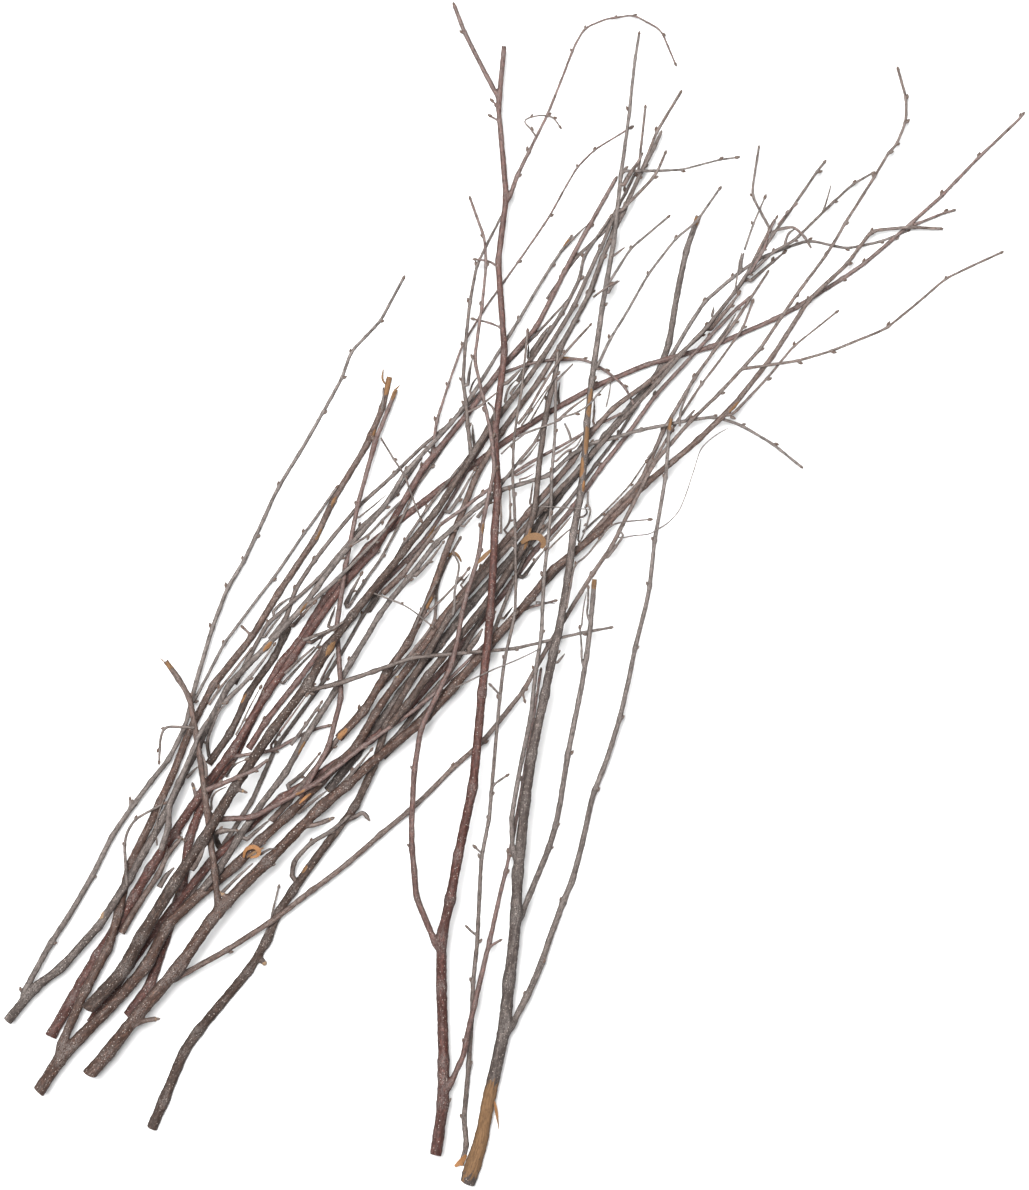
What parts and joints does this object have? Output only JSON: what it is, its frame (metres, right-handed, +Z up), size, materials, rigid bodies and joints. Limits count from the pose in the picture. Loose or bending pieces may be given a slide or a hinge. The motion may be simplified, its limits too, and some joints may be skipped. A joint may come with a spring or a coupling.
{
  "type": "bundle of twigs",
  "caption": "Loose bundle of long, thin, forked cut twigs lying criss-cross in one direction, butts at one end and fine tips fanned out at the other.",
  "frame": {"origin": "bottom centre of the whole bundle's box as it lies: the middle of its footprint, on the surface", "axes": "+Y along the length of the bundle from the butts to the tips, +X across it, +Z up"},
  "size_m": [0.6126, 0.7096, 0.0392],
  "materials": {
    "bark_red": "smooth reddish-brown bark with pale lenticels",
    "bark_brown": "matt brown bark with pale lenticels",
    "bark_grey": "matt grey-brown bark with pale lenticels",
    "bark_dark": "matt dark bark with a grey film"
  },
  "bodies": {
    "root": {"twig_01_stem": "bark_grey", "twig_01_branch_a": "bark_grey", "twig_02_stem": "bark_red", "twig_02_branch_a": "bark_red", "twig_03_stem": "bark_dark", "twig_04_stem": "bark_dark", "twig_05_stem": "bark_red", "twig_06_stem": "bark_brown", "twig_07_stem": "bark_brown", "twig_07_branch_a": "bark_brown", "twig_08_stem": "bark_brown", "twig_08_branch_a": "bark_brown", "twig_22_stem": "bark_dark", "twig_23_stem": "bark_dark", "twig_24_stem": "bark_red", "twig_25_stem": "bark_dark", "twig_26_stem": "bark_red", "twig_27_stem": "bark_dark", "twig_28_stem": "bark_dark", "twig_29_stem": "bark_dark", "twig_30_stem": "bark_dark", "twig_31_stem": "bark_dark", "twig_09_stem": "bark_red", "twig_09_branch_a": "bark_red", "twig_09_branch_b": "bark_red", "twig_09_branch_c": "bark_red", "twig_10_stem": "bark_brown", "twig_10_branch_a": "bark_brown", "twig_11_stem": "bark_grey", "twig_12_stem": "bark_red", "twig_13_stem": "bark_dark", "twig_13_branch_a": "bark_dark", "twig_13_branch_b": "bark_dark", "twig_14_stem": "bark_grey", "twig_14_branch_a": "bark_grey", "twig_14_branch_b": "bark_grey", "twig_14_branch_c": "bark_grey", "twig_15_stem": "bark_red", "twig_16_stem": "bark_dark", "twig_17_stem": "bark_brown", "twig_17_branch_a": "bark_brown", "twig_17_branch_b": "bark_brown", "twig_17_branch_c": "bark_brown", "twig_17_branch_d": "bark_brown", "twig_18_stem": "bark_dark", "twig_18_branch_a": "bark_dark", "twig_18_branch_b": "bark_dark", "twig_19_stem": "bark_dark", "twig_20_stem": "bark_red", "twig_20_branch_a": "bark_red", "twig_20_branch_b": "bark_red", "twig_20_branch_c": "bark_red", "twig_20_branch_d": "bark_red", "twig_21_stem": "bark_grey", "twig_21_branch_a": "bark_grey", "twig_21_branch_b": "bark_grey", "twig_21_branch_c": "bark_grey", "twig_21_branch_d": "bark_grey", "twig_21_branch_e": "bark_grey", "twig_21_branch_f": "bark_grey"}
  },
  "joints": []
}
